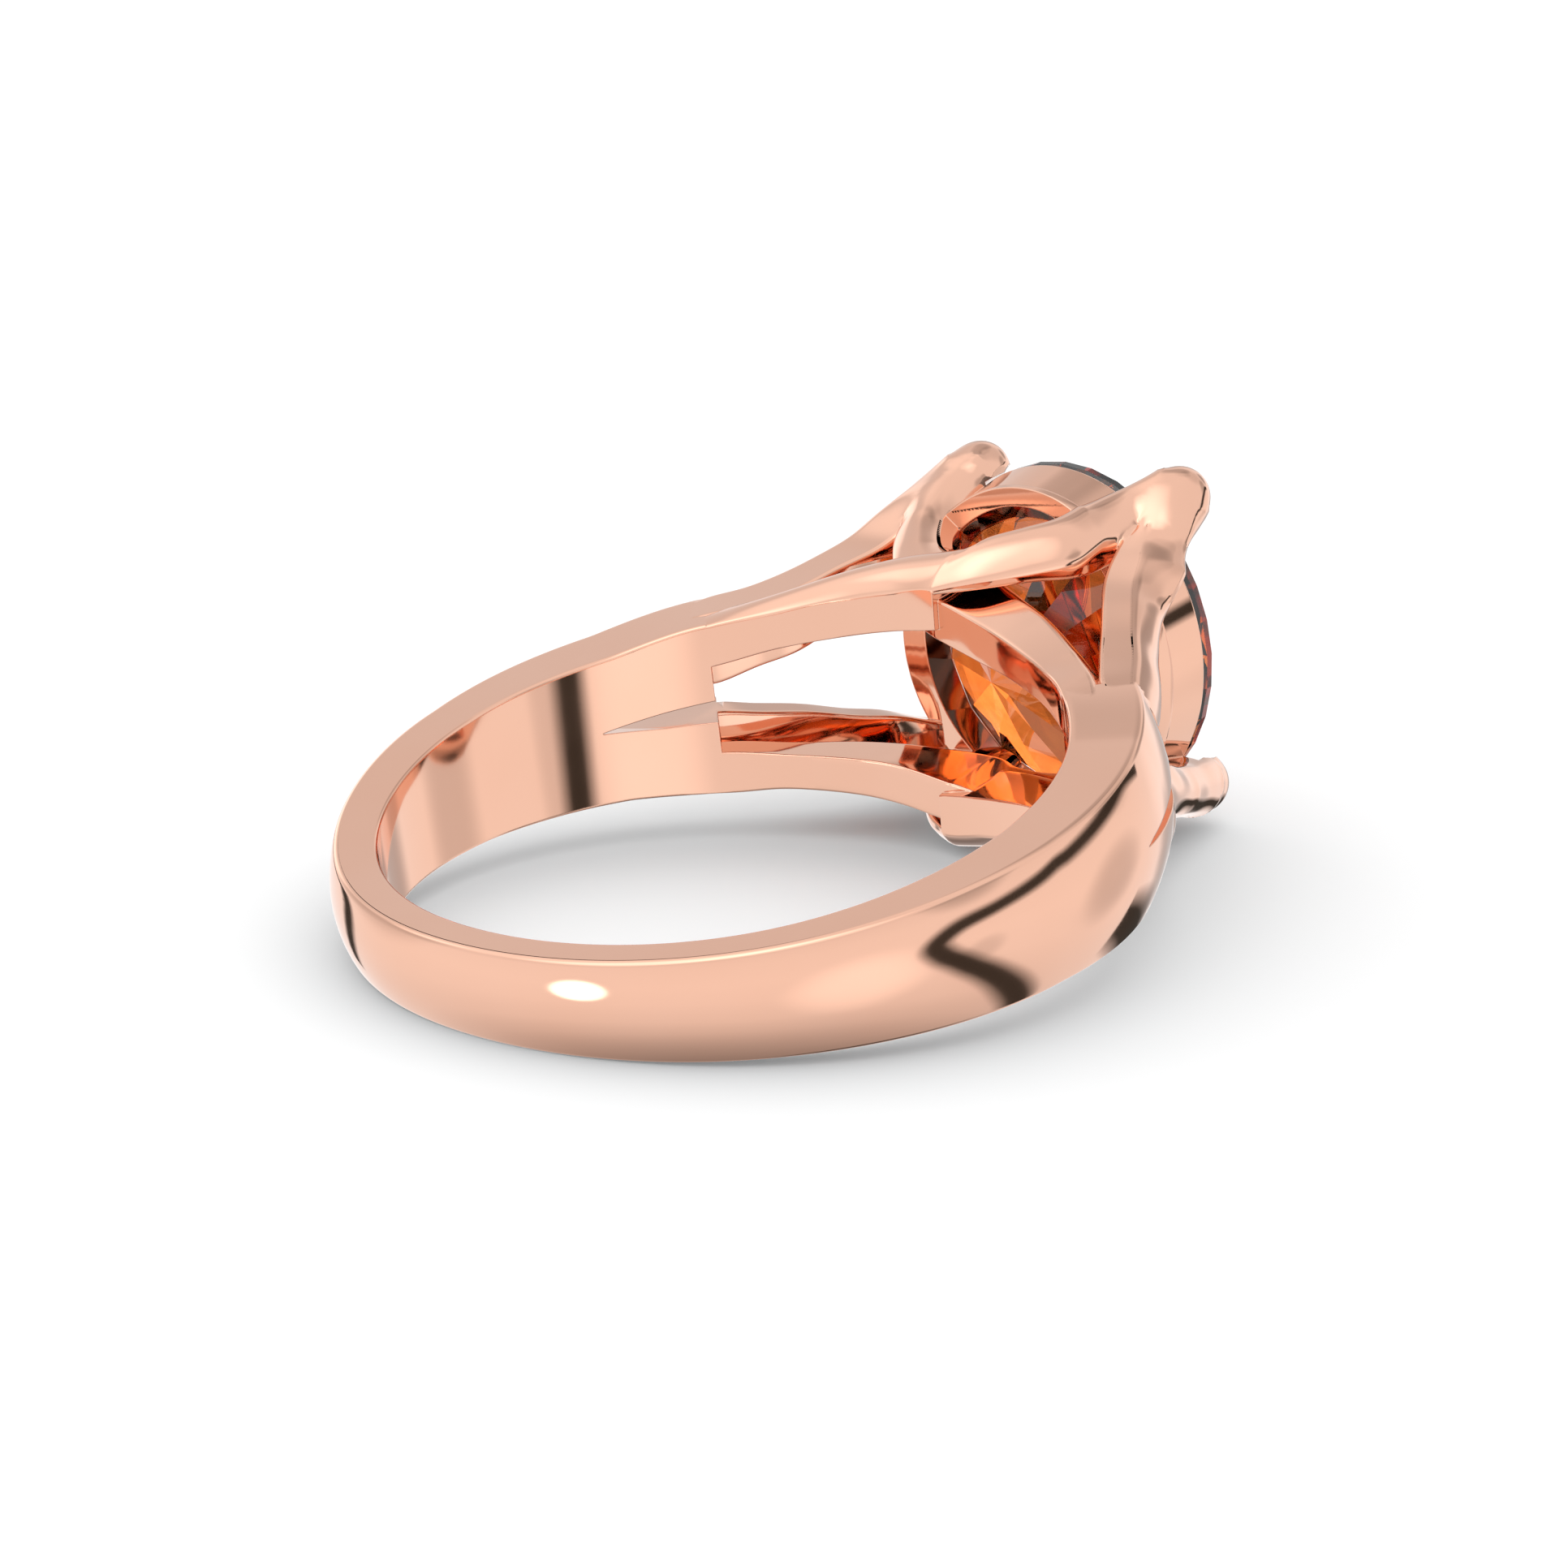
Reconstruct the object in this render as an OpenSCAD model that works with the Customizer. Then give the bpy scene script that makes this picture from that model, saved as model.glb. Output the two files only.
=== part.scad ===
// Ring with a split shank, four claws and an oval faceted stone. Sizes in millimetres.
// The sizes below drive the ring, and the tables of the head follow the stone and its height.
// The ring lies on the floor, z = 0, as it rests by itself: on the back of the shank and
// on the crest of the lower strand that crosses under the stone.
// The tables are in the ring's own frame, before it is laid down. There the finger passes
// along z, the stone faces +y, and phi is the angle about the finger: 0 at the back of the
// shank, 180 under the stone, positive on the +x side. The +z side is the upper one.
// The head is the same when it is turned half a turn about the y axis.

/* [Finger hole and shank] */
// diameter of the finger hole
hole_d = 16.5; // [15.5:0.1:17.5]
// width of the shank at its back, along the finger
shank_w = 2.3; // [2:0.05:2.6]
// metal over the finger hole at the shank's rounded edge
shank_t = 0.9; // [0.8:0.05:1.1]

/* [Stone] */
// length of the stone, along the finger
stone_l = 9.52; // [8.5:0.02:10.5]
// width of the stone, across the finger
stone_w = 8.36; // [7.5:0.02:9]
// height of the stone's girdle over the middle of the finger hole
girdle_y = 14.42; // [13.8:0.02:15.2]

/* [Head] */
// radius of a claw's round tip
claw_r = 0.9; // [0.8:0.05:1]

/* [Hidden] */
hole_r = hole_d / 2;
oval = stone_w / stone_l;
clearance = 0.03;

// how the head follows the stone: across, along the finger and over the finger hole
wide = stone_w / 8.36;
long = stone_l / 9.52;
tall = (girdle_y - hole_r) / 6.17;

// the split between the two halves of a shoulder: phi and height of its tip, at the
// finger hole and outside, and where both halves end in a flat step
split_in = [120.5, 0];
split_out = [110, 0.27];
step_phi = 137.25;

// the four claws: middle of the round tip over the stone's edge
claw_x = 0.3824 * stone_w;
claw_z = 0.4202 * stone_l;
claw_y = girdle_y + 0.61;

// edges of the shank against phi, in shares of half its width at the back:
// [phi, upper edge, lower edge]
SHANK_EDGE = [
    [-137.5, 2.06, -2.06], [-120, 1.71, -1.82], [-90, 1.42, -1.51], [-45, 0.94, -1.11],
    [0, 1, -0.94], [45, 1.115, -1.15], [90, 1.51, -1.47], [120, 1.82, -1.8],
    [137.5, 2.06, -2.06]];

// metal over the finger hole against phi, in shares of the metal at the back:
// [phi, at the edges, extra in the middle]
SHANK_METAL = [
    [-137.5, 2.44, 0.33], [-120, 2.17, 0.4], [-90, 1.56, 0.38], [-45, 1.14, 0.28],
    [0, 1, 0.27], [45, 1.11, 0.3], [90, 1.52, 0.41], [120, 1.83, 0.62],
    [137.5, 2.04, 0.61]];

// Strands of the head, inside the ring to outside:
// [inside x, y, outside x, y, lower, upper, bow on top, bow outside], y over the finger
// hole; along the hole a row starts with phi, metal inside and metal outside instead.
OVER = [
    [-128, 0, 0.7, 1.1, 2.01, 0, 0],
    [-139, 0, 1.0, 1.21, 2.33, 0.07, 0.2],
    [-150, 0, 1.28, 1.55, 2.57, 0.25, 0.3],
    [-162, 0, 1.64, 1.84, 2.89, 0.43, 0.31],
    [-172, 0, 1.93, 2.1, 3.18, 0.62, 0.35],
    [-180.3, 0, 2.13, 2.3, 3.52, 0.69, 0.3],
    [0.11, 0.03, 0.11, 2.13, 3.41, 3.5, 0.68, 0.3],
    [1.16, 0.65, 0.4, 2.6, 3.42, 3.56, 0.76, 0.3],
    [2.11, 1.69, 0.9, 3.06, 3.28, 3.6, 0.82, 0.32],
    [2.81, 2.75, 1.23, 3.7, 3.13, 3.68, 0.78, 0.3],
    [2.87, 4.06, 1.43, 4.64, 3.02, 3.85, 0.74, 0.3],
    [3.0, 5.3, 1.81, 5.7, 3.2, 4.0, 0.76, 0.2],
    [3.2, 6.3, 2.52, 6.84, 3.39, 4.22, 0.62, 0.1]];
UNDER = [
    [128, 0, 0.7, 1.1, 2.1, 0, 0],
    [139, 0, 0.97, 1.24, 2.32, 0, 0.31],
    [149, 0, 1.12, 1.4, 2.51, 0, 0.35],
    [161, 0, 1.45, 1.55, 2.7, 0, 0.38],
    [170, 0, 1.92, 1.69, 2.84, 0, 0.35],
    [180, 0, 2.55, 2.09, 3.07, 0, 0.35],
    [-0.02, 0.02, 0, 2.57, 2.09, 3.1, 0.0, 0.36],
    [-1.31, 0.63, -0.49, 2.48, 2.32, 3.21, 0.15, 0.34],
    [-2.5, 1.9, -1.4, 2.87, 2.48, 3.35, 0.24, 0.35],
    [-3.32, 3.2, -2.21, 4.02, 2.72, 3.5, 0.35, 0.3],
    [-3.6, 4.6, -2.5, 5.0, 2.9, 3.8, 0.5, 0.2],
    [-3.4, 5.6, -2.48, 5.9, 3.12, 4.0, 0.55, 0.1],
    [-3.2, 6.4, -2.5, 6.65, 3.4, 4.27, 0.4, 0.1]];
// number of the row in both where the strand leaves the finger hole
LEAVES = 5;

// straight strands from the end of a shoulder to its claw
RIGHT = [
    [6.8, -1.89, 7.27, -1.47, 0.49, 2.2, 0, 0.48],
    [6.15, -1.33, 6.84, -0.8, 0.45, 2.37, 0, 0.5],
    [5.45, -0.36, 6.32, 0.1, 0.71, 2.53, 0, 0.5],
    [4.82, 0.71, 5.58, 1.1, 1.0, 2.75, 0, 0.52],
    [4.11, 1.83, 4.97, 2.09, 1.39, 2.98, 0, 0.55],
    [3.5, 2.8, 4.4, 3.0, 1.7, 3.18, 0, 0.71],
    [3.14, 3.91, 3.91, 4.0, 2.2, 3.51, 0, 1.0],
    [3.0, 5.0, 3.55, 5.0, 2.59, 3.75, 0.05, 1.14],
    [2.92, 6.0, 3.41, 6.0, 3.0, 4.0, 0.1, 1.02],
    [2.79, 6.7, 3.3, 6.9, 3.3, 4.27, 0.1, 0.68]];
LEFT = [
    [-6.8, -1.91, -7.4, -1.36, 0.5, 2.19, 0, 0.4],
    [-6.16, -1.35, -6.95, -0.5, 0.43, 2.37, 0, 0.45],
    [-5.45, -0.35, -6.24, 0.28, 0.72, 2.5, 0, 0.45],
    [-4.8, 0.7, -5.67, 1.17, 1.02, 2.7, 0, 0.45],
    [-4.08, 1.8, -5.21, 2.16, 1.38, 2.97, 0, 0.4],
    [-3.5, 2.8, -4.86, 3.1, 1.69, 3.22, 0, 0.37],
    [-3.21, 3.9, -4.54, 3.96, 2.19, 3.6, 0.05, 0.39],
    [-3.1, 5.0, -4.3, 4.99, 2.6, 3.95, 0.2, 0.4],
    [-2.9, 6.02, -4.05, 6.01, 3.0, 4.2, 0.3, 0.3],
    [-2.74, 6.7, -3.8, 6.81, 3.29, 4.33, 0.28, 0.2]];

// basket under the stone, outside and inside: [radius across, radius along the finger,
// y below the girdle]; its open end follows the finger hole at a distance
BASKET_OUT = [
    [4.22, 4.79, 0.26], [4.09, 4.6, 1.5], [4.13, 4.67, 1.58], [4.12, 4.65, 1.8],
    [3.96, 4.52, 2.3], [3.91, 4.38, 2.58]];
BASKET_IN = [[3.81, 4.32, 0.2], [3.26, 3.68, 1.32], [3.3, 4.13, 1.76], [3.4, 4.41, 2.7]];
basket_gap = 4.4;

// point at phi and height h over the finger hole
function spot(phi, h) = [(hole_r + h) * sin(phi), -(hole_r + h) * cos(phi)];

// a row of a strand with x and y from the middle of the finger hole
function placed(r) = len(r) == 7
    ? concat(spot(r[0], r[1]), spot(r[0], r[2]), [r[3] * long, r[4] * long, r[5], r[6]])
    : [r[0] * wide, hole_r + r[1] * tall, r[2] * wide, hole_r + r[3] * tall,
        r[4] * long, r[5] * long, r[6], r[7]];

// smooth curve through the rows of a table, at row number t
function flow(tab, t) = let (
    n = len(tab) - 1,
    i = min(floor(t), n - 1),
    f = t - i,
    a = tab[max(i - 1, 0)],
    b = tab[i],
    c = tab[i + 1],
    d = tab[min(i + 2, n)])
    (2 * b + (c - a) * f + (2 * a - 5 * b + 4 * c - d) * f * f
        + (3 * b - a - 3 * c + d) * f * f * f) / 2;

// row number of the value v in a table's first column
function row_of(tab, v, i = 0) = (i >= len(tab) - 2 || v <= tab[i + 1][0])
    ? i + (v - tab[i][0]) / (tab[i + 1][0] - tab[i][0]) : row_of(tab, v, i + 1);
function look(tab, v) = flow(tab, row_of(tab, v));

// rounded corner c between the sides to p and to q, cut back by f
function corner(p, c, q, f) = let (
    a = c + f * (p - c) / max(norm(p - c), 0.001),
    b = c + f * (q - c) / max(norm(q - c), 0.001))
    [for (t = [0, 1]) (1 - t) * (1 - t) * a + 2 * t * (1 - t) * c + t * t * b];

// inner points of a side from p to q that bows by h towards out
function bowed(p, q, out, h) = [for (t = [0.3, 0.7])
    p + t * (q - p) + out * h * 4 * t * (1 - t)];

// outline across a strand: s runs from inside (0) to outside (w), z from low to high
function outline(w, low, high, top, out, f) = let (
    a = [0, low], b = [0, high], c = [w, high], d = [w, low],
    bc = bowed(b, c, [0, 1], top),
    cd = bowed(c, d, [1, 0], out))
    concat(corner(d, a, b, f[0]), corner(a, b, bc[0], f[1]), bc,
        corner(bc[1], c, cd[0], f[2]), cd, corner(cd[1], d, a, f[3]));

// section of a strand in space, from a placed row; it reaches into the finger hole by deep
function section(r, f, deep) = let (
    b = [r[2], r[3]],
    a = [r[0], r[1]],
    w = norm(b - a),
    u = (b - a) / w)
    [for (p = outline(w, r[4], r[5], r[6], r[7], f))
        let (s = p[0] < 0.001 ? p[0] - deep : p[0]) [a[0] + u[0] * s, a[1] + u[1] * s, p[1]]];

// row of the shank at phi
function shank_row(phi) = let (
    m = look(SHANK_METAL, phi) * shank_t,
    e = look(SHANK_EDGE, phi) * shank_w / 2)
    concat(spot(phi, 0), spot(phi, m[1]), [e[2], e[1], 0, m[2]]);

// solid through a row of sections, with each end raised a little in its middle
function centre(s) = [for (p = s) 1 / len(s)] * s;
function tip(a, b) = centre(a) + 0.07 * (centre(a) - centre(b));
module skin(sections) {
    n = len(sections[0]);
    m = len(sections);
    polyhedron(
        points = concat([for (s = sections, p = s) p],
            [tip(sections[0], sections[1]), tip(sections[m - 1], sections[m - 2])]),
        faces = concat(
            [for (j = [0:n - 1]) [j, (j + 1) % n, m * n]],
            [for (i = [0:m - 2], j = [0:n - 1], k = [0, 1]) let (
                a = i * n + j, b = i * n + (j + 1) % n)
                k == 0 ? [a, a + n, b] : [b, a + n, b + n]],
            [for (j = [0:n - 1]) [(m - 1) * n + (j + 1) % n, (m - 1) * n + j, m * n + 1]]));
}

// strand along a table, in the finger hole up to row `leaves`; its corners are cut back by
// f there and by g beyond
module strand(table, leaves, f, g) {
    rows = [for (r = table) placed(r)];
    last = len(rows) - 1;
    first = leaves > 0 ? leaves + 1 : 0;
    sections = concat(
        [if (leaves > 0) for (i = [0:7]) section(flow(rows, i * leaves / 7), f, 0.6)],
        [for (i = [0:10]) section(flow(rows, first + i * (last - first) / 10), g, 0)]);
    n = len(sections) - 1;
    skin(table[0][0] < 0 ? [for (i = [0:n]) sections[n - i]] : sections);
}

module shank() {
    skin([for (i = [0:32]) section(shank_row(step_phi * (i / 16 - 1)), [0.1, 0.1, 0.12, 0.12],
        0.5)]);
}

// wedge that parts the two halves of the shoulder on the right
module split() {
    tip_in = spot(split_in[0] - 1, -0.6);
    tip_out = spot(split_out[0] - 3, 2.9);
    end_in = spot(step_phi + 1, -0.6);
    end_out = spot(step_phi + 1, 2.9);
    hull() {
        for (p = [[tip_in, -0.01, 0.01], [tip_out, 0.26, 0.28], [end_in, -0.28, 0.29],
            [end_out, -0.25, 0.6]])
            for (z = [p[1], p[2]]) translate([p[0][0], p[0][1], z]) cube(0.001);
    }
}

// block on the stone's side of a claw's flat inner face, from y = low up
module beside(side, low) {
    away = atan2(claw_x, claw_z);
    translate([side * claw_x, low, claw_z]) rotate([0, side * away, 0])
        translate([-2, 0, -2.45]) cube([4, 4, 2]);
}

module claw(side) {
    difference() {
        hull() {
            translate([side * claw_x, claw_y, claw_z]) sphere(claw_r, $fn = 16);
            translate([side * (claw_x + 0.1), claw_y - 0.9, claw_z - 0.35])
                sphere(0.75 * claw_r, $fn = 10);
        }
        beside(side, girdle_y - 2);
    }
}

// the upper half of the head: four strands and two claws
module upper_head() {
    difference() {
        union() {
            strand(OVER, LEAVES, [0.05, 0.08, 0.5, 0.3], [0.1, 0.15, 0.5, 0.4]);
            strand(UNDER, LEAVES, [0.05, 0.08, 0.12, 0.12], [0.1, 0.1, 0.3, 0.3]);
            strand(RIGHT, 0, [0, 0, 0, 0], [0.12, 0.12, 0.15, 0.15]);
            strand(LEFT, 0, [0, 0, 0, 0], [0.12, 0.12, 0.15, 0.15]);
        }
        beside(1, girdle_y - 0.2);
        beside(-1, girdle_y - 0.2);
    }
    claw(1);
    claw(-1);
}

// solid through ovals, each with its two radii and its depth below the girdle
module ovals(rows) {
    skin([for (r = rows) [for (k = [0:47])
        [wide * r[0] * cos(k * 7.5), girdle_y - r[2], long * r[1] * sin(k * 7.5)]]]);
}

module basket() {
    difference() {
        ovals(BASKET_OUT);
        ovals(BASKET_IN);
        translate([0, 0, -10]) cylinder(h = 20, r = hole_r + basket_gap, $fn = 60);
    }
}

// brilliant cut of radius 1 with its girdle at height 0, facing +z
function ring_of(n, r, h, turn) = [for (k = [0:n - 1])
    [r * cos(k * 360 / n + turn), r * sin(k * 360 / n + turn), h]];
function brilliant(crown, table, star, girdle, depth, low, belly) = concat(
    ring_of(8, table, girdle + crown, 0),
    ring_of(8, star, girdle + crown * (1 - star * cos(22.5)) / (1 - table), 22.5),
    ring_of(32, 1, girdle, 0),
    ring_of(32, 1, 0, 0),
    ring_of(16, belly[0], -belly[1], 11.25),
    ring_of(8, low, -depth * (1 - low * cos(22.5)), 22.5),
    [[0, 0, -depth]]);

// the stone's shape, larger all round by extra
module gem(extra) {
    half = stone_l / 2;
    points = brilliant(0.3, 0.58, 0.8, 0.045, 0.8, 0.25, [0.79, 0.27]);
    translate([0, girdle_y, 0]) scale([oval, 1, 1] * (1 + extra / half)) rotate([-90, 0, 0])
        hull() polyhedron(points = half * points, faces = [[for (i = [0:len(points) - 1]) i]]);
}

// how the ring lies: on the edge of the shank's back and on the crest of the lower strand
back_y = -(hole_r + shank_t / 2);
back_z = 0.985 * shank_w / 2;
crest_y = hole_r + tall * (OVER[7][1] + OVER[7][3]) / 2;
crest_z = long * OVER[7][5] + OVER[7][6];
lie = atan((crest_z - back_z) / (crest_y - back_y));
lift = back_z * cos(lie) - back_y * sin(lie);
front_y = claw_y * cos(lie) + claw_z * sin(lie) + claw_r;
rear_y = -(hole_r + 1.27 * shank_t) * cos(lie);
middle = (front_y + rear_y) / 2;

module lay_down() {
    translate([0, -middle, lift]) rotate([lie, 0, 0]) children();
}

module ring_mount() {
    color([0.93, 0.68, 0.58]) lay_down() difference() {
        resize([0, 0, 0]) difference() {
            union() {
                shank();
                upper_head();
                mirror([1, 0, 0]) mirror([0, 0, 1]) upper_head();
                basket();
            }
            split();
            mirror([1, 0, 0]) mirror([0, 0, 1]) split();
            gem(clearance);
        }
        translate([0, 0, -10]) cylinder(h = 20, r = hole_r, $fn = 180);
    }
}

module stone() {
    color([0.75, 0.3, 0.1]) lay_down() gem(0);
}

ring_mount();
stone();
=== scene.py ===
import math

import bmesh
import bpy
import numpy as np
from mathutils import Matrix, Vector
from mathutils.bvhtree import BVHTree


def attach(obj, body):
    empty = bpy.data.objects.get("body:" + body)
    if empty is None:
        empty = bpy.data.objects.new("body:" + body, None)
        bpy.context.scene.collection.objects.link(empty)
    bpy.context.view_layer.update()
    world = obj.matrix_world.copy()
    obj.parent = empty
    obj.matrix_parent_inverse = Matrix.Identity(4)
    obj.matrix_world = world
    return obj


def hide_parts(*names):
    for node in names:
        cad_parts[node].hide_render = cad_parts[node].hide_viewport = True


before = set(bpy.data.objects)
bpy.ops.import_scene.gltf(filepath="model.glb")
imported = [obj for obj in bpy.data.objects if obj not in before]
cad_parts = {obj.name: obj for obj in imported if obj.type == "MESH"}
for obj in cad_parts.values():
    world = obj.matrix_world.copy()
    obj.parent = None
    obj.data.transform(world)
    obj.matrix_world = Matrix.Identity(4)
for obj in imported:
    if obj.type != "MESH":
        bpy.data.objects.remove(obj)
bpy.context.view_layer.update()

# Lengths are in millimetres and in the ring's own frame, before it is laid down: the finger
# passes along z, the stone faces +y, and phi is the angle about the finger, 0 at the back of
# the shank and 180 under the stone, positive on the +x side.
MM = 0.001

# sizes as in the part's source; the basket's open end is BASKET_GAP over the finger hole,
# and the seat is SEAT_GAP larger than the stone all round
HOLE_R = 8.25
SHANK_W = 2.3
SHANK_T = 0.9
STONE_L = 9.52
STONE_W = 8.36
OVAL = STONE_W / STONE_L
GIRDLE_Y = 14.42
CLAW_R = 0.9
BASKET_GAP = 4.4
SEAT_GAP = 0.03
# the edge at the shank's back that the ring lies on, in half widths, and the whole metal
# there, in shares of SHANK_T
BACK_EDGE = 0.985
BACK_METAL = 1.27

# the claw at +x: middle of its round tip, its root from there, and how far its flat inner
# face is from its middle
CLAW = np.array([0.3824 * STONE_W, GIRDLE_Y + 0.61, 0.4202 * STONE_L])
CLAW_ROOT = [0.1, -0.9, -0.35]
CLAW_ROOT_R = 0.75 * CLAW_R
CLAW_FLAT = 0.45
# heights from which the flats cut the claws, and the strands that end in them
CLAW_CUT_Y = GIRDLE_Y - 2
STRAND_CUT_Y = GIRDLE_Y - 0.2

# how finely the polished surfaces are drawn
SHANK_STEPS = 260
HOLE_STEPS = 70
CLAW_STEPS = 90
CORNER_POINTS = 7
BOW_POINTS = 8
FLAT_POINTS = 5
ROUND = 320
HOLE_ROUND = 720
CLAW_ROUND = 56
ROOT_RINGS = 12
SIDE_RINGS = 10
TIP_RINGS = 22
# angles of the last rings before a claw's two poles
ROOT_POLE = -1.5
TIP_POLE = 1.54

# soft inner corners at the claws: their reach, where they fade out from a claw's tip, and
# the height over the tip's middle where they end and over which they fade
FILLET = 0.75
FILLET_NEAR = 1.6
FILLET_FAR = 4.2
FILLET_TOP = 0.1
FILLET_FADE = 0.8
FILLET_LEAST = 0.02
# evening out of the surface there: rounds, pace, and where it fades out from a claw's tip
SOFT_STEPS = 40
SOFT_PACE = 0.5
SOFT_NEAR = 1.5
SOFT_FAR = 3.0

# edges of the shank against phi, in shares of half its width: [phi, upper, lower]
SHANK_EDGE = np.array([
    [-137.5, 2.06, -2.06], [-120, 1.71, -1.82], [-90, 1.42, -1.51], [-45, 0.94, -1.11],
    [0, 1, -0.94], [45, 1.115, -1.15], [90, 1.51, -1.47], [120, 1.82, -1.8],
    [137.5, 2.06, -2.06]])

# metal over the finger hole against phi, in shares of SHANK_T: [phi, at the edges, middle]
SHANK_METAL = np.array([
    [-137.5, 2.44, 0.33], [-120, 2.17, 0.4], [-90, 1.56, 0.38], [-45, 1.14, 0.28],
    [0, 1, 0.27], [45, 1.11, 0.3], [90, 1.52, 0.41], [120, 1.83, 0.62],
    [137.5, 2.04, 0.61]])

# where both halves of a shoulder end in a flat step, and the wedge that parts them at +x:
# [phi, height over the hole, z from, z to]
STEP_PHI = 137.5
WEDGE = [
    [119.5, -0.6, -0.01, 0.01], [107, 2.9, 0.26, 0.28],
    [STEP_PHI + 1, -0.6, -0.28, 0.29], [STEP_PHI + 1, 2.9, -0.25, 0.6]]

# strands, close to the part's source and fitted a little nearer to the photo:
# [phi, metal inside, metal outside, lower, upper, bow on top, bow outside] along the finger
# hole, then [inside x, y, outside x, y, lower, upper, bow on top, bow outside]
OVER = [
    [-128, 0, 0.7, 1.1, 2.12, 0, 0],
    [-139, 0, 1.0, 1.23, 2.37, 0.05, 0.2],
    [-150, 0, 1.3, 1.55, 2.56, 0.25, 0.3],
    [-162, 0, 1.65, 1.85, 2.9, 0.45, 0.35],
    [-172, 0, 1.95, 2.1, 3.17, 0.6, 0.35],
    [0.2, 0, 0.5, 2.12, 2.3, 3.41, 0.71, 0.3],
    [0.24, 0.02, 0.54, 2.14, 3.26, 3.41, 0.71, 0.3],
    [1.15, 0.65, 0.6, 2.6, 3.29, 3.56, 0.76, 0.3],
    [2.1, 1.69, 0.9, 3.05, 3.26, 3.62, 0.8, 0.3],
    [2.8, 2.75, 1.25, 3.7, 3.12, 3.68, 0.8, 0.3],
    [2.9, 4.05, 1.42, 4.7, 3.05, 3.83, 0.75, 0.3],
    [3.0, 5.3, 1.8, 5.7, 3.2, 4.0, 0.75, 0.2],
    [3.2, 6.3, 2.5, 6.8, 3.4, 4.25, 0.6, 0.1]]
UNDER = [
    [128, 0, 0.7, 1.1, 2.2, 0, 0],
    [139, 0, 0.86, 1.22, 2.385, 0, 0.3],
    [149, 0, 0.94, 1.41, 2.4, 0, 0.35],
    [161, 0.04, 1.26, 1.55, 2.57, 0, 0.35],
    [170, 0.1, 1.55, 1.68, 2.79, 0, 0.35],
    [180, 0.2, 2.2, 2.0, 3.12, 0, 0.35],
    [-0.02, 0.21, 0, 2.2, 2.0, 3.12, 0.0, 0.35],
    [-1.3, 0.6, -0.5, 2.48, 2.32, 3.2, 0.15, 0.35],
    [-2.5, 1.9, -1.4, 2.88, 2.48, 3.35, 0.25, 0.35],
    [-3.3, 3.2, -2.2, 4.02, 2.72, 3.5, 0.35, 0.3],
    [-3.6, 4.6, -2.5, 5.0, 2.9, 3.8, 0.5, 0.2],
    [-3.4, 5.6, -2.5, 5.9, 3.1, 4.0, 0.55, 0.1],
    [-3.2, 6.4, -2.5, 6.65, 3.42, 4.25, 0.4, 0.1]]
RIGHT = [
    [6.8, -1.91, 7.27, -1.47, 0.5, 2.26, 0, 0.45],
    [6.15, -1.35, 6.84, -0.78, 0.45, 2.405, 0, 0.5],
    [5.45, -0.35, 6.3, 0.1, 0.72, 2.55, 0, 0.5],
    [4.8, 0.7, 5.6, 1.1, 1.0, 2.75, 0, 0.5],
    [4.1, 1.8, 4.95, 2.1, 1.4, 3.0, 0, 0.55],
    [3.5, 2.8, 4.4, 3.0, 1.7, 3.2, 0, 0.7],
    [3.12, 3.9, 3.95, 4.0, 2.2, 3.5, 0, 1.0],
    [3.0, 5.0, 3.55, 5.0, 2.6, 3.75, 0.05, 1.15],
    [2.9, 6.0, 3.4, 6.0, 3.0, 4.0, 0.1, 1.05],
    [2.8, 6.7, 3.3, 6.9, 3.32, 4.25, 0.1, 0.7]]
LEFT = [
    [-6.7, -2.1, -7.4, -1.35, 0.5, 2.26, 0, 0.4],
    [-6.0, -1.6, -6.95, -0.5, 0.45, 2.405, 0, 0.45],
    [-5.25, -0.7, -6.25, 0.3, 0.72, 2.52, 0, 0.45],
    [-4.45, 0.15, -5.65, 1.15, 1.0, 2.72, 0, 0.45],
    [-4.0, 1.5, -5.2, 2.15, 1.4, 2.95, 0, 0.4],
    [-3.5, 2.8, -4.85, 3.1, 1.7, 3.2, 0, 0.4],
    [-3.2, 3.9, -4.55, 4.0, 2.2, 3.6, 0.05, 0.4],
    [-3.1, 5.0, -4.3, 5.0, 2.6, 3.95, 0.2, 0.4],
    [-2.9, 6.0, -4.05, 6.0, 3.0, 4.2, 0.3, 0.3],
    [-2.7, 6.7, -3.8, 6.85, 3.28, 4.35, 0.3, 0.2]]

# number of the row where OVER and UNDER leave the finger hole, the row of OVER whose crest
# touches the floor on the lower side of the head, and how far UNDER's top rises outward
# along the hole, by row
LEAVES = 5
REST_ROW = 7
RISE = [0, 0.05, 0.2, 0.22, 0.2, 0.12]
NO_RISE = [0, 0]

# how far parts reach into the hole before it is cut, and the rows over which UNDER, whose
# inner side leaves the hole's wall, gives that up
DEEP = 0.6
DEEP_UNTIL = 1
DEEP_FADE = 1.2

# how far corners are cut back, [inner lower, inner upper, outer upper, outer lower]: at the
# start of a strand, where it leaves the hole and CUT_ROWS further on
SHANK_CUT = [0.1, 0.1, 0.12, 0.12]
START_CUT = [0.05, 0.08, 0.1, 0.1]
OVER_CUTS = [0.05, 0.08, 0.5, 0.3], [0.1, 0.15, 0.5, 0.4]
UNDER_CUTS = [0.05, 0.08, 0.12, 0.12], [0.1, 0.1, 0.3, 0.3]
STRAIGHT_CUTS = [0.12, 0.12, 0.15, 0.15], [0.12, 0.12, 0.15, 0.15]
CUT_ROWS = 2

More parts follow.
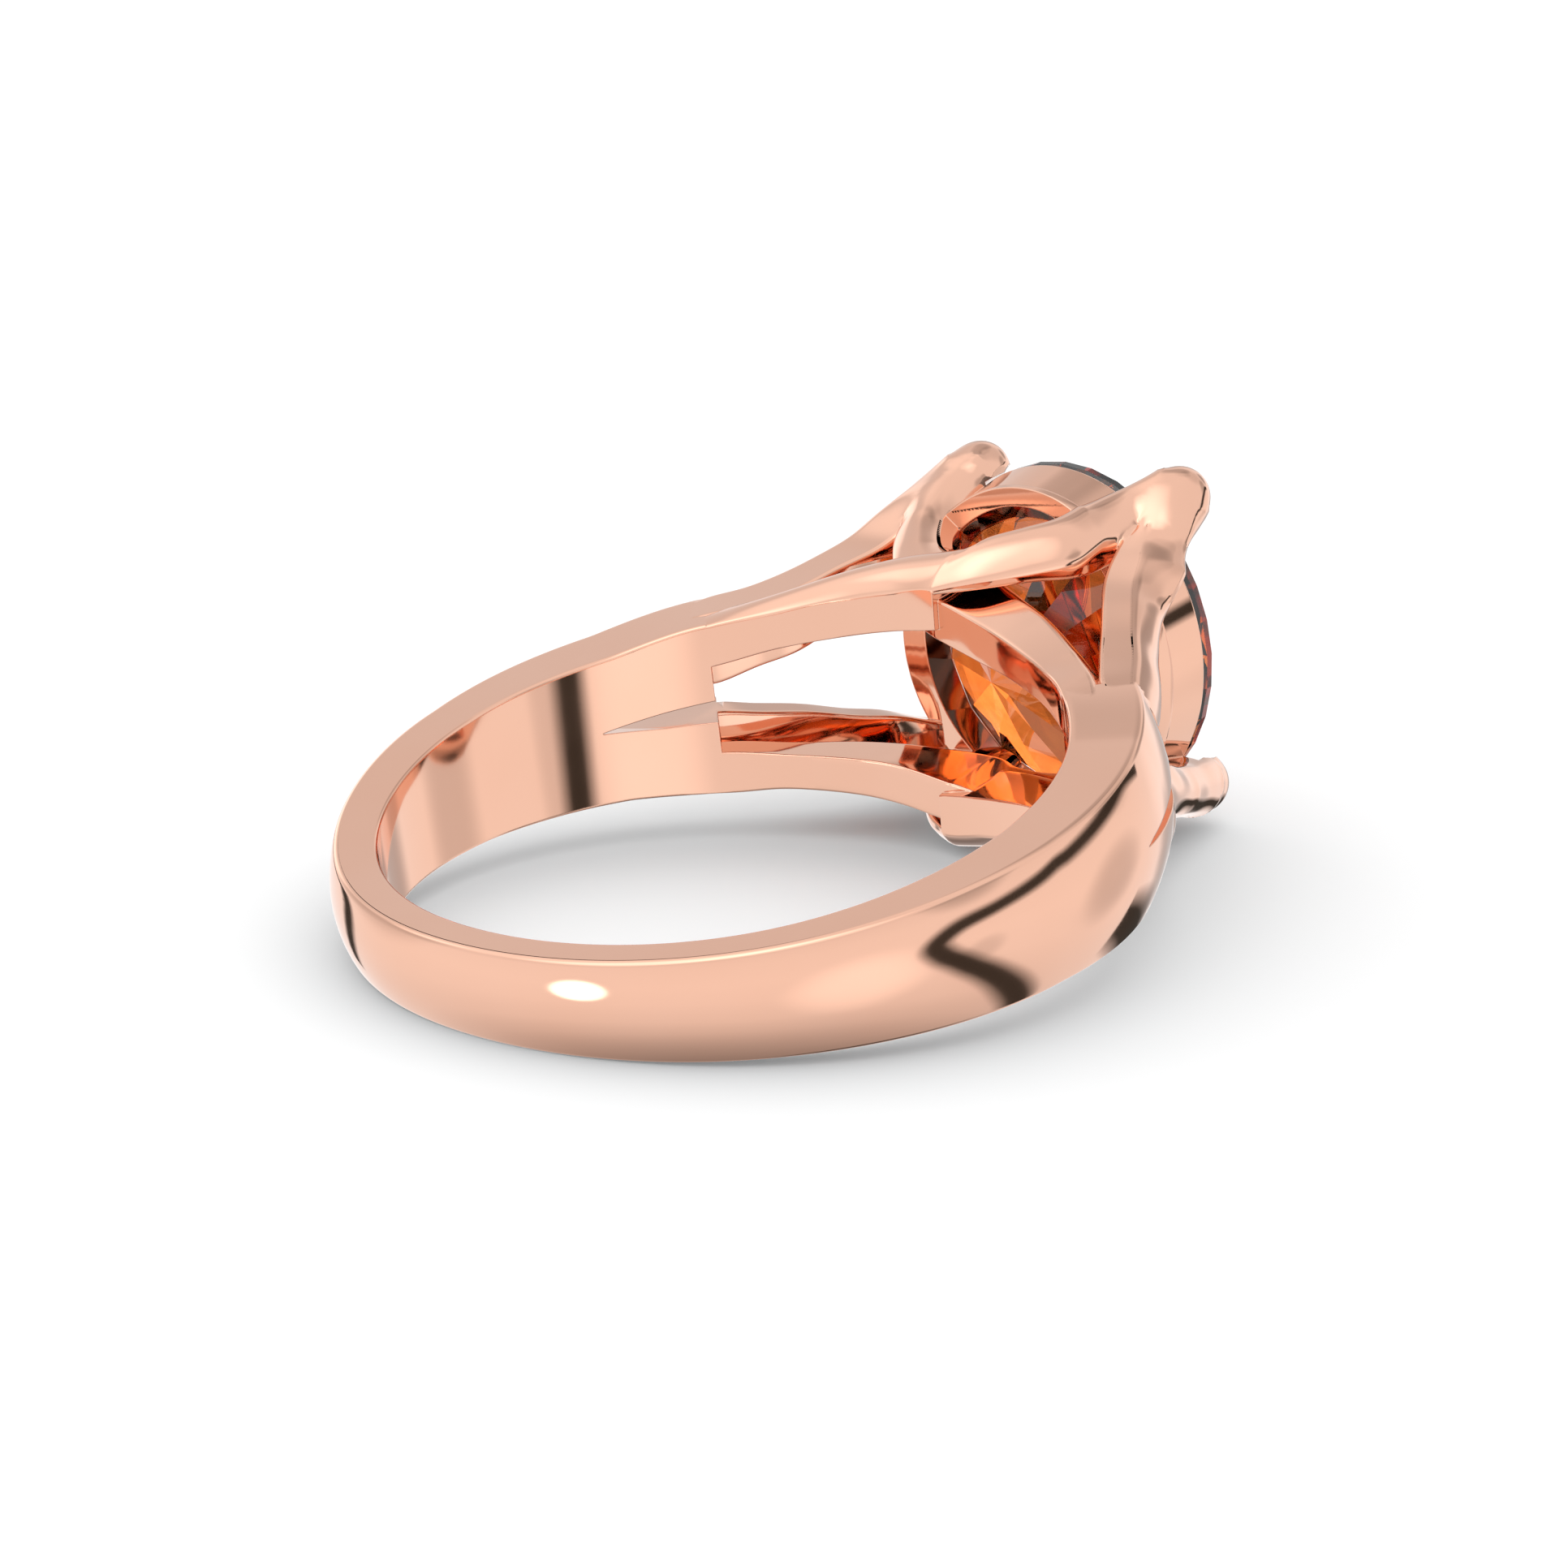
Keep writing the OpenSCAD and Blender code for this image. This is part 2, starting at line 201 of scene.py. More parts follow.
# basket: [radius across, radius along the finger, y below the girdle]
BASKET_OUT = [
    [4.22, 4.79, 0.26], [4.09, 4.63, 1.5], [4.13, 4.67, 1.58], [4.12, 4.66, 1.8],
    [3.98, 4.5, 2.3], [3.9, 4.4, 2.6]]
BASKET_IN = [[3.8, 4.3, 0.2], [3.23, 3.7, 1.32], [3.3, 4.14, 1.76], [3.4, 4.4, 2.7]]

# brilliant cut of radius 1: height of the crown, radii of table and star points, height of
# the girdle, depth, radius of the low points, and radius and depth of the belly
CUT = {"crown": 0.3, "table": 0.58, "star": 0.8, "girdle": 0.045, "depth": 0.8,
       "low": 0.25, "belly": (0.79, 0.27)}

# edges sharper than this many degrees stay sharp when a surface is polished, and points
# this near to the hole's wall lie on it
METAL_CREASE = 28
STONE_CREASE = 1
WALL_NEAR = 0.0005


def spot(phi, h):
    """Point at phi and height h over the finger hole."""
    a = math.radians(phi)
    return [(HOLE_R + h) * math.sin(a), -(HOLE_R + h) * math.cos(a)]


def placed(r):
    """A row of a strand with x and y from the middle of the finger hole."""
    if len(r) == 7:
        return np.array(spot(r[0], r[1]) + spot(r[0], r[2]) + list(r[3:]), float)
    return np.array([r[0], HOLE_R + r[1], r[2], HOLE_R + r[3]] + list(r[4:]), float)


def flow(tab, t):
    """Smooth curve through the rows of a table, at row number t."""
    n = len(tab) - 1
    i = min(int(t), n - 1)
    f = t - i
    a, b, c, d = tab[max(i - 1, 0)], tab[i], tab[i + 1], tab[min(i + 2, n)]
    return (2 * b + (c - a) * f + (2 * a - 5 * b + 4 * c - d) * f * f
            + (3 * b - a - 3 * c + d) * f ** 3) / 2


def look(tab, v):
    """The table at the value v of its first column."""
    i = 0
    while i < len(tab) - 2 and v > tab[i + 1][0]:
        i += 1
    return flow(tab, i + (v - tab[i][0]) / (tab[i + 1][0] - tab[i][0]))


def mixed(p, q, share):
    """Values of p at share 0 and of q at share 1."""
    return [a + (b - a) * share for a, b in zip(p, q)]


def corner(p, c, q, f):
    """Rounded corner c between the sides to p and to q, cut back by f."""
    a = c + f * (p - c) / max(np.linalg.norm(p - c), 0.001)
    b = c + f * (q - c) / max(np.linalg.norm(q - c), 0.001)
    return [(1 - t) ** 2 * a + 2 * t * (1 - t) * c + t * t * b
            for t in np.linspace(0, 1, CORNER_POINTS)]


def bowed(p, q, out, h):
    """Inner points of a side from p to q that bows by h towards out."""
    return [p + t * (q - p) + out * h * 4 * t * (1 - t)
            for t in np.linspace(0, 1, BOW_POINTS + 2)[1:-1]]


def between(p, q):
    """Inner points of a flat side from p to q."""
    return [p + t * (q - p) for t in np.linspace(0, 1, FLAT_POINTS + 2)[1:-1]]


def outline(w, low, high, top, out, f):
    """Points round a section: across from inside (0) to outside (w), up from low to high."""
    a, b, c, d = (np.array(p, float) for p in ((0, low), (0, high), (w, high), (w, low)))
    up, side = np.array([0.0, 1.0]), np.array([1.0, 0.0])
    bc, cd = bowed(b, c, up, top), bowed(c, d, side, out)
    first = corner(d, a, b, f[0])
    second = corner(a, b, bc[0], f[1])
    third = corner(bc[-1], c, cd[0], f[2])
    last = corner(cd[-1], d, a, f[3])
    return (first + between(first[-1], second[0]) + second + bc + third + cd + last
            + between(last[-1], first[0]))


def section(r, f, deep, rise=0.0):
    """Section of a placed row in space; its inner side is moved inward by deep."""
    a, b = r[0:2], r[2:4]
    w = np.linalg.norm(b - a)
    u = (b - a) / w
    points = []
    for s, z in outline(w, r[4], r[5], r[6], r[7], f):
        z += rise * max(0, s) * (z - r[4]) / (r[5] - r[4])
        s = s - deep if s < 0.001 else s
        points.append([a[0] + u[0] * s, a[1] + u[1] * s, z])
    return points


def lay_down():
    """Matrix from the ring's own frame to the way it lies on the floor, in millimetres."""
    back_y = -(HOLE_R + SHANK_T / 2)
    back_z = BACK_EDGE * SHANK_W / 2
    crest = OVER[REST_ROW]
    crest_y = HOLE_R + (crest[1] + crest[3]) / 2
    crest_z = crest[5] + crest[6]
    lie = math.atan((crest_z - back_z) / (crest_y - back_y))
    lift = back_z * math.cos(lie) - back_y * math.sin(lie)
    front = CLAW[1] * math.cos(lie) + CLAW[2] * math.sin(lie) + CLAW_R
    rear = -(HOLE_R + BACK_METAL * SHANK_T) * math.cos(lie)
    return Matrix.Translation((0, -(front + rear) / 2, lift)) @ Matrix.Rotation(lie, 4, "X")


LAY = lay_down()
HALF_TURN = Matrix.Rotation(math.pi, 4, "Y")


def linked(name, mesh):
    obj = bpy.data.objects.new(name, mesh)
    bpy.context.scene.collection.objects.link(obj)
    return obj


def mesh_object(name, points, faces):
    mesh = bpy.data.meshes.new(name)
    mesh.from_pydata([tuple(p) for p in points], [], faces)
    return linked(name, mesh)


def skin(name, sections):
    """Closed surface through a row of sections."""
    n, m = len(sections[0]), len(sections)
    points = [p for s in sections for p in s]
    faces = [list(range(n)), [(m - 1) * n + j for j in range(n - 1, -1, -1)]]
    for i in range(m - 1):
        for j in range(n):
            a, b = i * n + j, i * n + (j + 1) % n
            faces.append([a, a + n, b + n, b])
    return mesh_object(name, points, faces)


def run_on(rows, leaves):
    """Rows before and after a strand leaves the hole, each with one row of the other part
    for its slope; the inner side and the lower edge go straight on instead."""
    before, after = rows[:leaves + 1], rows[leaves + 1:]
    ahead, behind = after[1].copy(), before[-2].copy()
    for k in (0, 1, 4):
        ahead[k] = 2 * before[-1][k] - before[-2][k]
        behind[k] = 2 * after[0][k] - after[1][k]
    return before + [ahead], [behind] + after


def strand(name, table, leaves, cuts, rise=NO_RISE):
    """Strand through its table, along the hole's wall up to row `leaves` if that isn't 0."""
    rows = [placed(r) for r in table]
    turned = table[0][0] < 0
    hole_cut, claw_cut = cuts
    parts = []
    if leaves:
        along, rows = run_on(rows, leaves)
        for t in np.linspace(0, leaves, HOLE_STEPS):
            cut = mixed(START_CUT, hole_cut, (t / leaves) ** 1.5)
            fade = 0 if turned else max(0, t - DEEP_UNTIL) / DEEP_FADE
            up = np.interp(t / leaves, np.linspace(0, 1, len(rise)), rise)
            parts.append(section(flow(along, t), cut, DEEP * max(0, 1 - fade), up))
    for t in np.linspace(1 if leaves else 0, len(rows) - 1, CLAW_STEPS):
        share = min(1, (t - 1) / CUT_ROWS) if leaves else 1
        parts.append(section(flow(rows, t), mixed(hole_cut, claw_cut, share), 0,
                             rise[-1] * (1 - share)))
    if turned:
        parts.reverse()
    return skin(name, parts)


def shank():
    parts = []
    for phi in np.linspace(-STEP_PHI, STEP_PHI, SHANK_STEPS):
        m = look(SHANK_METAL, phi) * SHANK_T
        e = look(SHANK_EDGE, phi) * SHANK_W / 2
        row = np.array(spot(phi, 0) + spot(phi, m[1]) + [e[2], e[1], 0, m[2]])
        parts.append(section(row, SHANK_CUT, DEEP))
    return skin("shank", parts)


def hull_object(name, points, matrix=Matrix.Identity(4)):
    """Convex hull of the points, moved by the matrix."""
    mesh = bpy.data.meshes.new(name)
    bm = bmesh.new()
    for p in points:
        bm.verts.new(p)
    out = bmesh.ops.convex_hull(bm, input=bm.verts)
    spare = {v for v in out["geom_interior"] if isinstance(v, bmesh.types.BMVert)}
    bmesh.ops.delete(bm, geom=list(spare), context="VERTS")
    bmesh.ops.recalc_face_normals(bm, faces=bm.faces)
    bm.to_mesh(mesh)
    bm.free()
    mesh.transform(matrix)
    return linked(name, mesh)


def finger(name, low, low_r, high, high_r):
    """Round finger over two balls, drawn with rings."""
    low, high = np.array(low, float), np.array(high, float)
    length = np.linalg.norm(high - low)
    axis = (high - low) / length
    side = np.cross(axis, [0, 0, 1])
    side /= np.linalg.norm(side)
    other = np.cross(axis, side)
    lean = math.asin((low_r - high_r) / length)
    rings = [(low, low_r, a) for a in np.linspace(ROOT_POLE, lean, ROOT_RINGS)]
    rings += [(low + (high - low) * t, low_r + (high_r - low_r) * t, lean)
              for t in np.linspace(0, 1, SIDE_RINGS)[1:-1]]
    rings += [(high, high_r, a) for a in np.linspace(lean, TIP_POLE, TIP_RINGS)]
    turn = np.linspace(0, 2 * math.pi, CLAW_ROUND, endpoint=False)
    return skin(name, [[c + r * (axis * math.sin(a) + math.cos(a)
                                 * (side * math.cos(k) + other * math.sin(k))) for k in turn]
                       for c, r, a in rings])


def boolean(base, others, operation):
    """Adds the others to base or cuts them out of it, and removes them."""
    box = bpy.data.collections.new("tools")
    bpy.context.scene.collection.children.link(box)
    for o in others:
        bpy.context.scene.collection.objects.unlink(o)
        box.objects.link(o)
    mod = base.modifiers.new("cut", "BOOLEAN")
    mod.operand_type = "COLLECTION"
    mod.collection = box
    mod.operation = operation
    mod.solver = "MANIFOLD"
    apply_modifiers(base)
    for o in others:
        bpy.data.objects.remove(o)
    bpy.data.collections.remove(box)
    return base


def apply_modifiers(obj):
    dg = bpy.context.evaluated_depsgraph_get()
    mesh = bpy.data.meshes.new_from_object(obj.evaluated_get(dg))
    obj.modifiers.clear()
    old = obj.data
    obj.data = mesh
    bpy.data.meshes.remove(old)


def fix_sides(obj):
    """Turns the faces of a closed surface outward."""
    bm = bmesh.new()
    bm.from_mesh(obj.data)
    bmesh.ops.recalc_face_normals(bm, faces=bm.faces)
    if bm.calc_volume(signed=True) < 0:
        bmesh.ops.reverse_faces(bm, faces=bm.faces)
    bm.to_mesh(obj.data)
    bm.free()
    return obj


def tip(side):
    """Middle of the claw's round tip at +x (side 1) or -x (side -1)."""
    return [side * CLAW[0], CLAW[1], CLAW[2]]


def beside(side, low):
    """Block on the stone's side of a claw's flat inner face, from y = low up."""
    away = math.atan2(CLAW[0], CLAW[2])
    place = Matrix.Translation((side * CLAW[0], low, CLAW[2])) @ Matrix.Rotation(
        side * away, 4, "Y")
    points = [[x, y, z] for x in (-2, 2) for y in (0, 4)
              for z in (-2 - CLAW_FLAT, -CLAW_FLAT)]
    return fix_sides(hull_object("beside", points, place))


def claw(side):
    root = [side * (CLAW[0] + CLAW_ROOT[0]), CLAW[1] + CLAW_ROOT[1], CLAW[2] + CLAW_ROOT[2]]
    body = finger("claw", root, CLAW_ROOT_R, tip(side), CLAW_R)
    return boolean(fix_sides(body), [beside(side, CLAW_CUT_Y)], "DIFFERENCE")


def fillet(parts):
    """Swells each part near the others, so that their union has soft inner corners."""
    trees = [BVHTree.FromObject(p, bpy.context.evaluated_depsgraph_get()) for p in parts]
    tips = [Vector(tip(side)) for side in (1, -1)]
    moves = []
    for part in parts:
        move = []
        for v in part.data.vertices:
            near = min((v.co - t).length for t in tips)
            share = min(1, max(0, (FILLET_FAR - near) / (FILLET_FAR - FILLET_NEAR)))
            below = min(1, max(0, (CLAW[1] + FILLET_TOP - v.co.y) / FILLET_FADE))
            reach = FILLET * share * share * (3 - 2 * share) * below
            grow = 0
            for other, tree in zip(parts, trees):
                if reach < FILLET_LEAST or other is part:
                    continue
                place, _, _, gap = tree.find_nearest(v.co, reach)
                if place is not None:
                    grow = max(grow, (reach - gap) ** 2 / (4 * reach))
            move.append(v.normal * grow)
        moves.append(move)
    for part, move in zip(parts, moves):
        for v, step in zip(part.data.vertices, move):
            v.co += step


def soften(head):
    """Evens out the surface around the claws' tips."""
    mesh = head.data
    points = np.empty(len(mesh.vertices) * 3)
    mesh.vertices.foreach_get("co", points)
    points = points.reshape(-1, 3)
    pairs = np.empty(len(mesh.edges) * 2, int)
    mesh.edges.foreach_get("vertices", pairs)
    one, two = pairs.reshape(-1, 2).T
    count = np.bincount(one, minlength=len(points)) + np.bincount(two, minlength=len(points))
    near = np.min([np.linalg.norm(points - tip(side), axis=1) for side in (1, -1)], axis=0)
    share = SOFT_PACE * np.clip((SOFT_FAR - near) / (SOFT_FAR - SOFT_NEAR), 0, 1)[:, None]
    for _ in range(SOFT_STEPS):
        total = np.zeros_like(points)
        for k in range(3):
            total[:, k] = (np.bincount(one, points[two, k], len(points))
                           + np.bincount(two, points[one, k], len(points)))
        points += share * (total / count[:, None] - points)
    mesh.vertices.foreach_set("co", points.ravel())
    mesh.update()


def upper_head(matrix):
    """Half of the head as one piece: four strands and two claws."""
    parts = [strand("over", OVER, LEAVES, OVER_CUTS),
             strand("under", UNDER, LEAVES, UNDER_CUTS, RISE),
             strand("right", RIGHT, 0, STRAIGHT_CUTS),
             strand("left", LEFT, 0, STRAIGHT_CUTS),
             claw(1), claw(-1)]
    parts = [fix_sides(p) for p in parts]
    fillet(parts)
    head = boolean(parts[0], parts[1:], "UNION")
    soften(head)
    boolean(head, [beside(1, STRAND_CUT_Y), beside(-1, STRAND_CUT_Y)], "DIFFERENCE")
    head.data.transform(matrix)
    return fix_sides(head)


def ovals(name, rows):
    """Solid through ovals, each with its two radii and its depth below the girdle."""
    turn = np.linspace(0, 2 * math.pi, ROUND, endpoint=False)
    return fix_sides(skin(name, [
        [[r[0] * math.cos(a), GIRDLE_Y - r[2], r[1] * math.sin(a)] for a in turn]
        for r in rows]))


def cylinder(name, radius, n, half=10):
    """Cylinder along the finger."""
    turn = np.linspace(0, 2 * math.pi, n, endpoint=False)
    return fix_sides(skin(name, [
        [[radius * math.cos(a), radius * math.sin(a), z] for a in turn]
        for z in (-half, half)]))


def basket():
    return boolean(ovals("basket", BASKET_OUT),
                   [ovals("hollow", BASKET_IN),
                    cylinder("below", HOLE_R + BASKET_GAP, ROUND)], "DIFFERENCE")


def split(matrix):
    """Wedge that parts the two halves of a shoulder."""
    points = [spot(phi, h) + [z] for phi, h, low, high in WEDGE for z in (low, high)]
    return fix_sides(hull_object("split", points, matrix))


def ring_of(n, r, h, turn):
    """n points round a circle at height h, turned by turn degrees."""
    return [[r * math.cos(math.radians(k * 360 / n + turn)),
             r * math.sin(math.radians(k * 360 / n + turn)), h] for k in range(n)]


def brilliant(crown, table, star, girdle, depth, low, belly):
    """Points of a brilliant cut of radius 1 with its girdle's lower edge at height 0."""
    cos = math.cos(math.radians(22.5))
    return (ring_of(8, table, girdle + crown, 0)
            + ring_of(8, star, girdle + crown * (1 - star * cos) / (1 - table), 22.5)
            + ring_of(32, 1, girdle, 0) + ring_of(32, 1, 0, 0)
            + ring_of(16, belly[0], -belly[1], 11.25)
            + ring_of(8, low, -depth * (1 - low * cos), 22.5) + [[0, 0, -depth]])


def gem(name, extra):
    """The stone's shape, larger all round by extra."""
    half = STONE_L / 2
    grow = half * (1 + extra / half)
    return hull_object(name, [[OVAL * grow * p[0], GIRDLE_Y + grow * p[2], -grow * p[1]]
                              for p in brilliant(**CUT)])


def ring_mount():
    body = fix_sides(shank())
    halves = [upper_head(matrix) for matrix in (Matrix.Identity(4), HALF_TURN)]
    boolean(body, halves + [basket()], "UNION")
    boolean(body, [split(Matrix.Identity(4)), split(HALF_TURN),
                   fix_sides(gem("seat", SEAT_GAP)), cylinder("hole", HOLE_R, HOLE_ROUND)],
            "DIFFERENCE")
    body.name = "casting"
    return body


def polish(obj, angle, bore=0.0):
    """Lays the piece down with smooth shading, and true normals on a round hole's wall."""
    mesh = obj.data
    mesh.polygons.foreach_set("use_smooth", [True] * len(mesh.polygons))
    mesh.set_sharp_from_angle(angle=math.radians(angle))
    mesh.transform(Matrix.Scale(MM, 4) @ LAY)
    if not bore:
        return
    back = LAY.inverted()
    points = np.empty(len(mesh.vertices) * 3)
    mesh.vertices.foreach_get("co", points)
    points = points.reshape(-1, 3) / MM
    points = points @ np.array(back.to_3x3()).T + np.array(back.translation)
    far = np.hypot(points[:, 0], points[:, 1])
    on_wall = np.abs(far - bore) < WALL_NEAR
    turn = np.array(LAY.to_3x3()).T
    normals = np.zeros((len(mesh.loops), 3))
    for face in mesh.polygons:
        ids = list(face.vertices)
        if on_wall[ids].all():
            for loop, i in zip(face.loop_indices, ids):
                inward = [-points[i, 0] / far[i], -points[i, 1] / far[i], 0]
                normals[loop] = inward @ turn
    mesh.normals_split_custom_set(normals.tolist())


def graph(name, kind="materials"):
    """A new node material or world, with its tree and its main shader."""
    block = getattr(bpy.data, kind).new(name)
    block.use_nodes = True
    tree = block.node_tree
    shader = tree.nodes["Principled BSDF" if kind == "materials" else "Background"]
    return block, tree, shader


def add(tree, kind, inputs=(), **settings):
    """A node with its settings, whose inputs are numbers or other nodes' outputs."""
    node = tree.nodes.new("ShaderNode" + kind)
    for key, value in settings.items():
        setattr(node, key, value)
    for key, value in dict(inputs).items():
        if isinstance(value, bpy.types.NodeSocket):
            tree.links.new(value, node.inputs[key])
        else:
            node.inputs[key].default_value = value
    return node


def ramp(tree, fac, stops):
    """Colour ramp through the stops (position, colour)."""
    node = add(tree, "ValToRGB", {"Fac": fac})
    marks = node.color_ramp.elements
    while len(marks) < len(stops):
        marks.new(0.5)
    for mark, (where, colour) in zip(marks, stops):
        mark.position = where
        mark.color = colour if isinstance(colour, tuple) else (colour, colour, colour, 1)
    return node


def rose_gold():
    """Polished metal with a faint cloud in its tint and gloss, fine hairs and soft edges."""
    mat, tree, shader = graph("rose_gold")
    place = add(tree, "TexCoord").outputs["Object"]
    cloud = add(tree, "TexNoise", {"Vector": place, "Scale": 260, "Detail": 4})
    hairs = add(tree, "TexNoise", {"Vector": place, "Scale": 5200, "Detail": 3})
    tint = ramp(tree, cloud.outputs["Fac"], [(0.3, (0.862, 0.500, 0.362, 1)),
                                             (0.7, (0.878, 0.522, 0.385, 1))])
    gloss = ramp(tree, cloud.outputs["Fac"], [(0.35, 0.05), (0.65, 0.085)])
    bevel = add(tree, "Bevel", {"Radius": 0.05 * MM}, samples=8)
    bump = add(tree, "Bump", {"Height": hairs.outputs["Fac"], "Strength": 0.02,
                              "Distance": 0.002 * MM, "Normal": bevel.outputs["Normal"]})
    tree.links.new(tint.outputs["Color"], shader.inputs["Base Color"])
    tree.links.new(gloss.outputs["Color"], shader.inputs["Roughness"])
    tree.links.new(bump.outputs["Normal"], shader.inputs["Normal"])
    shader.inputs["Metallic"].default_value = 1.0
    return mat


def hessonite():
    """Clear orange garnet with the soft swirls that hessonite has."""
    mat, tree, shader = graph("hessonite")
    shader.inputs["Transmission Weight"].default_value = 1.0
    shader.inputs["Roughness"].default_value = 0.0
    shader.inputs["IOR"].default_value = 1.74
    place = add(tree, "TexCoord").outputs["Object"]
    swirl = add(tree, "TexNoise", {"Vector": place, "Scale": 420, "Detail": 5,
                                   "Distortion": 1.4})
    tint = ramp(tree, swirl.outputs["Fac"], [(0.3, (0.62, 0.12, 0.02, 1)),
                                             (0.7, (0.76, 0.2, 0.04, 1))])
    tree.links.new(tint.outputs["Color"], shader.inputs["Base Color"])
    return mat


# What the polished metal mirrors, by direction from the ring: azimuth from +Y to +X and
# height, in degrees. Dark edges of the light panels: [azimuth, height, width]
PANEL_EDGES = [
    [[10, 8, 3], [20, 13, 6], [30, 12, 6.5], [50, 8, 6.5], [60, 5, 6], [75, 2, 6],
     [87, -1, 7.5], [92.5, -8, 8], [89, -15, 8], [82.5, -21, 8], [74, -27.5, 8],
     [60, -35.5, 8], [45, -41.5, 8], [25, -46.5, 7], [14, -47, 3]],
    [[-68, 2, 3], [-75, -2, 4.5], [-82, -8, 6], [-84, -13, 6.5], [-78, -20, 4.5],
     [-68, -25, 2.5]],
    [[-27, -22, 2], [-20, -25, 6], [-8, -26.5, 8], [2, -27, 8.5], [8, -27, 8.5]]]
PANEL_EDGE_LIGHT = (0.05, 0.05, 0.045)
# steps from row to row, half width in widths, and the fade across as [place, share]
STRIP_STEPS = 12
STRIP_HALF = 0.75
STRIP_FADE = [(-1, 0), (-0.7, 0.5), (-0.35, 1), (0.35, 1), (0.7, 0.5), (1, 0)]

# round lamp: azimuth, height, radius; and its fade as [radius in radii, share]
LAMP = [-175.5, -14, 7.6]
LAMP_LIGHT = (3.0, 3.0, 3.0)
LAMP_FADE = [(0.86, 1), (1, 0.6), (1.12, 0)]
LAMP_POINTS = 48

# distance of these cards in metres
FAR = 2.0

# light by height: [sine of the height, light]; a ramp holds it in shares of SKY_MOST
SKY = [[-1, 0.33], [-0.94, 0.43], [-0.87, 0.57], [-0.77, 0.77], [-0.64, 0.93], [-0.4, 1.04],
       [-0.17, 1.08], [0.1, 1.05], [0.35, 0.97], [0.6, 0.97], [0.85, 0.98], [1, 1.0]]
SKY_MOST = 2.0
SKY_LEAST = 0.04

# soft brighter and darker places: [azimuth, height, radius inside, radius outside, light]
PLACES = [
    [180, 56, 10, 34, 0.75], [140, 52, 5, 28, 0.4], [-110, 52, 5, 36, 0.2],
    [-105, 16, 10, 30, -0.3], [-105, 37, 2, 13, 0.45], [-68, 15, 2, 15, 0.6],
    [-33, 10, 3, 17, -0.4], [0, 18, 2, 12, -0.5], [25, 20, 4, 15, -0.4],
    [0, 62, 2, 15, -0.15], [15, 45, 5, 26, -0.2], [85, 24, 5, 18, -0.4],
    [110, -22, 4, 22, 0.25], [-5, 0, 2, 14, 0.1], [-17, -14, 2, 15, -0.5],
    [29, -13, 3, 15, -0.3], [75, -18, 1, 8, -0.2], [-53, 31, 5, 24, -0.17],
    [-24, 50, 3, 18, -0.4], [-45, -42, 3, 16, -0.6], [10, -66, 4, 18, -0.4]]

# light that shows through the stone: one soft place, [azimuth, height, radius inside, radius
# outside], and the light away from it and in it
STONE_PLACE = [5, 32, 5, 45]
STONE_LIGHT = [0.7, 3.4]

# the floor, its own light, and the light that reaches it by way of the ring
FLOOR_HALF = 1
FLOOR_COLOUR = (0.92, 0.92, 0.92, 1)
FLOOR_LIGHT = (1.22, 1.22, 1.22, 1)
BOUNCE_LIGHT = (0.40, 0.68, 0.93, 1)

# camera fitted to the photo: place and axes in the ring's frame, focal length and side of
# the photo in pixels
CAMERA_PLACE = (49.7927, -53.0364, 31.3944)
CAMERA_RIGHT = (0.767997, 0.630804, -0.110754)
CAMERA_UP = (-0.166318, 0.363432, 0.916655)
CAMERA_BACK = (0.618481, -0.685568, 0.384028)
FOCAL_PX = 4104
PHOTO_PX = 1932
SENSOR = 36


def way(azimuth, height):
    """Direction of length 1 from the ring."""
    a, e = math.radians(azimuth), math.radians(height)
    return Vector((math.sin(a) * math.cos(e), math.cos(a) * math.cos(e), math.sin(e)))


def card(name, points, faces, levels, colour):
    """A far card that only reflections see; its light fades with levels."""
    obj = mesh_object(name, points, faces)
    soft = obj.data.attributes.new("level", "FLOAT", "POINT")
    soft.data.foreach_set("value", levels)
    mat = bpy.data.materials.new(name)
    mat.use_nodes = True
    tree = mat.node_tree
    tree.nodes.clear()
    level = add(tree, "Attribute", attribute_name="level")
    glow = add(tree, "Emission", {"Color": colour + (1,)})
    clear = add(tree, "BsdfTransparent")
    mix = add(tree, "MixShader", {0: level.outputs["Fac"], 1: clear.outputs[0],
                                  2: glow.outputs[0]})
    tree.links.new(mix.outputs[0], add(tree, "OutputMaterial").inputs["Surface"])
    obj.data.materials.append(mat)
    obj.visible_camera = obj.visible_diffuse = obj.visible_shadow = False
    obj.visible_transmission = False
    return obj


def strip(name, rows, colour):
    """Card along the rows [azimuth, height, width], soft at both sides."""
    rows = [np.array(r, float) for r in rows]
    steps = STRIP_STEPS * (len(rows) - 1)
    lines = [flow(rows, i / STRIP_STEPS) for i in range(steps + 1)]
    points, levels, faces = [], [], []
    for i, r in enumerate(lines):
        here = way(r[0], r[1])
        ahead = way(*lines[min(i + 1, steps)][:2]) - way(*lines[max(i - 1, 0)][:2])
        side = here.cross(ahead).normalized()
        for a, f in STRIP_FADE:
            off = side * math.radians(r[2]) * STRIP_HALF * a
            points.append((here + off).normalized() * FAR)
            levels.append(f)
    k = len(STRIP_FADE)
    for i in range(steps):
        for j in range(k - 1):
            faces.append([i * k + j, i * k + j + 1, (i + 1) * k + j + 1, (i + 1) * k + j])
    return card(name, points, faces, levels, colour)


